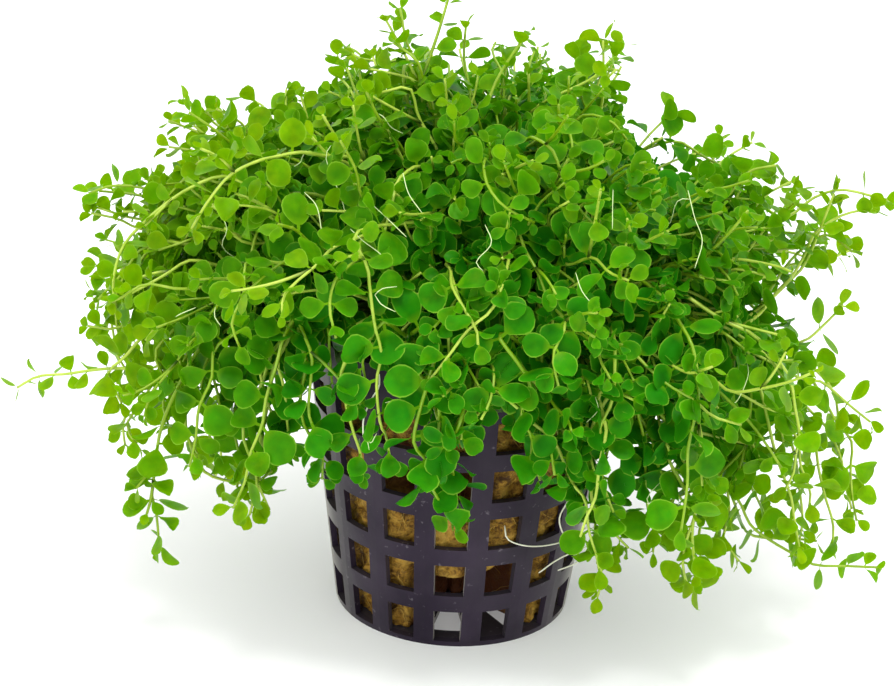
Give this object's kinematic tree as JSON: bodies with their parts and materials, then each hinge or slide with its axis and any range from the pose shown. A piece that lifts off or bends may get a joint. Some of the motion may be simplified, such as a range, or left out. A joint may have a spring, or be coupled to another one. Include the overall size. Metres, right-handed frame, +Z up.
{
  "type": "potted monte carlo carpet plant",
  "caption": "Low carpeting aquarium plant with small round leaves, rooted in a mineral wool plug in a tapered net pot, its leafy stems rising over the rim and trailing down.",
  "frame": {"origin": "centre of the pot's foot, on the surface that the pot stands on", "axes": "+Z up along the pot's axis, -Y towards the side seen in front, +X to the right of that side"},
  "size_m": [0.1397, 0.1031, 0.098],
  "materials": {
    "pot_plastic": "satin, dusty",
    "wool": "wet fibrous wool",
    "leaf": "living leaf, satin",
    "stem": "living stem, smooth",
    "root": "fine pale root, smooth"
  },
  "bodies": {
    "root": {"net_pot": "pot_plastic", "mineral_wool": "wool", "tuft_crown_01": "leaf", "tuft_shoulder_01": "leaf", "tuft_shoulder_02": "leaf", "tuft_shoulder_03": "leaf", "tuft_shoulder_04": "leaf", "tuft_shoulder_05": "leaf", "tuft_shoulder_06": "leaf", "tuft_skirt_01": "leaf", "tuft_skirt_02": "leaf", "tuft_skirt_03": "leaf", "tuft_skirt_04": "leaf", "tuft_skirt_05": "leaf", "tuft_skirt_06": "leaf", "tuft_skirt_07": "leaf", "tuft_skirt_08": "leaf", "tuft_skirt_09": "leaf", "tuft_skirt_10": "leaf", "tuft_skirt_11": "leaf", "tuft_skirt_12": "leaf"}
  },
  "joints": []
}
